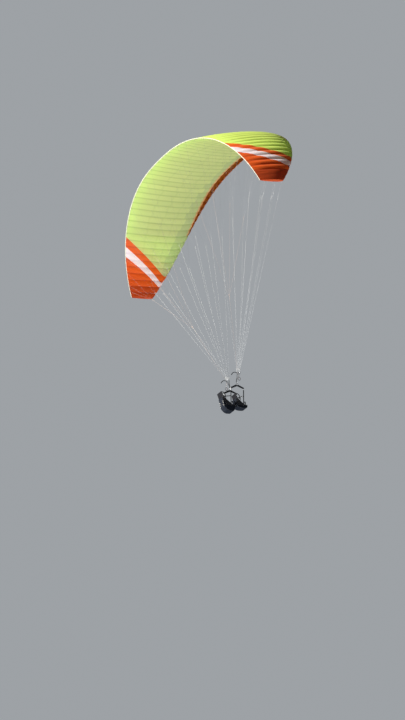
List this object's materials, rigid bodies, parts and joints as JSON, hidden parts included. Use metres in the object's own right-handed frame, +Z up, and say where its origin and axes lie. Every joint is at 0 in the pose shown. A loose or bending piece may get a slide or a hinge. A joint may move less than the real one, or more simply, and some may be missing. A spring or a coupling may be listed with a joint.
{
  "type": "tandem paraglider",
  "caption": "Two-seat paraglider with an arched ram-air wing, line sets, risers, spreader bars and two seat harnesses hung one before the other.",
  "frame": {"origin": "lift centre of the wing, at mid-chord of the centre section, 8.7 m above the tops of the risers", "axes": "+X to the right wing tip along the span, +Y forward in flight, +Z up"},
  "size_m": [11.8682, 3.4264, 10.4607],
  "materials": {
    "bar_cover": "dark anodised bar",
    "harness_cloth": "padded cordura",
    "line_cord": "braided cord",
    "plastic_dark": "moulded",
    "protector_cloth": "cordura over foam",
    "ripstop_lime": "coated ripstop nylon, translucent",
    "ripstop_orange": "coated ripstop nylon, translucent",
    "ripstop_white": "coated ripstop nylon, translucent",
    "seat_cloth": "padded cordura over a seat plate",
    "steel_bright": "polished",
    "webbing_dark": "woven webbing",
    "webbing_grip": "woven webbing with orange stitching"
  },
  "bodies": {
    "left_brake_handle": {"brake_handle_left": "webbing_grip"},
    "right_brake_handle": {"brake_handle_right": "webbing_grip"},
    "wing": {"brake_lines_left": "line_cord", "brake_lines_right": "line_cord", "canopy_band_left": "ripstop_orange", "canopy_band_right": "ripstop_orange", "canopy_centre": "ripstop_lime", "canopy_inner_left": "ripstop_lime", "canopy_inner_right": "ripstop_lime", "canopy_outer_left": "ripstop_lime", "canopy_outer_right": "ripstop_lime", "canopy_stripe_left": "ripstop_white", "canopy_stripe_right": "ripstop_white", "canopy_tip_left": "ripstop_orange", "canopy_tip_right": "ripstop_orange", "lines_a_left": "line_cord", "lines_a_right": "line_cord", "lines_b_left": "line_cord", "lines_b_right": "line_cord", "lines_c_left": "line_cord", "lines_c_right": "line_cord", "link_a_left": "steel_bright", "link_a_right": "steel_bright", "link_b_left": "steel_bright", "link_b_right": "steel_bright", "link_c_left": "steel_bright", "link_c_right": "steel_bright", "main_carabiner_left": "steel_bright", "main_carabiner_right": "steel_bright", "pulley_left": "plastic_dark", "pulley_right": "plastic_dark", "risers_left": "webbing_dark", "risers_right": "webbing_dark"},
    "passenger_harness": {"passenger_back": "harness_cloth", "passenger_carabiner_left": "steel_bright", "passenger_carabiner_right": "steel_bright", "passenger_hang_strap_left": "webbing_dark", "passenger_hang_strap_right": "webbing_dark", "passenger_leg_loops": "webbing_dark", "passenger_protector": "protector_cloth", "passenger_seat": "seat_cloth", "passenger_shoulder_straps": "webbing_dark"},
    "pilot_harness": {"pilot_back": "harness_cloth", "pilot_carabiner_left": "steel_bright", "pilot_carabiner_right": "steel_bright", "pilot_hang_strap_left": "webbing_dark", "pilot_hang_strap_right": "webbing_dark", "pilot_leg_loops": "webbing_dark", "pilot_protector": "protector_cloth", "pilot_seat": "seat_cloth", "pilot_shoulder_straps": "webbing_dark"},
    "spreader_bars": {"spreader_left": "bar_cover", "spreader_right": "bar_cover"}
  },
  "joints": [
    {"name": "spreader_pitch", "type": "hinge", "parent": "wing", "child": "spreader_bars", "pos_m": [0, 0.215, -9.165], "axis": [1, 0, 0], "range_deg": [-15, 15]},
    {"name": "pilot_swing", "type": "hinge", "parent": "spreader_bars", "child": "pilot_harness", "pos_m": [0, -0.06, -9.275], "axis": [1, 0, 0], "range_deg": [-25, 4]},
    {"name": "passenger_swing", "type": "hinge", "parent": "spreader_bars", "child": "passenger_harness", "pos_m": [0, 0.46, -9.275], "axis": [1, 0, 0], "range_deg": [-4, 25]},
    {"name": "left_brake_pull", "type": "slide", "parent": "wing", "child": "left_brake_handle", "axis": [0, 0, -1], "range_m": [0, 0.6]},
    {"name": "right_brake_pull", "type": "slide", "parent": "wing", "child": "right_brake_handle", "axis": [0, 0, -1], "range_m": [0, 0.6]}
  ]
}
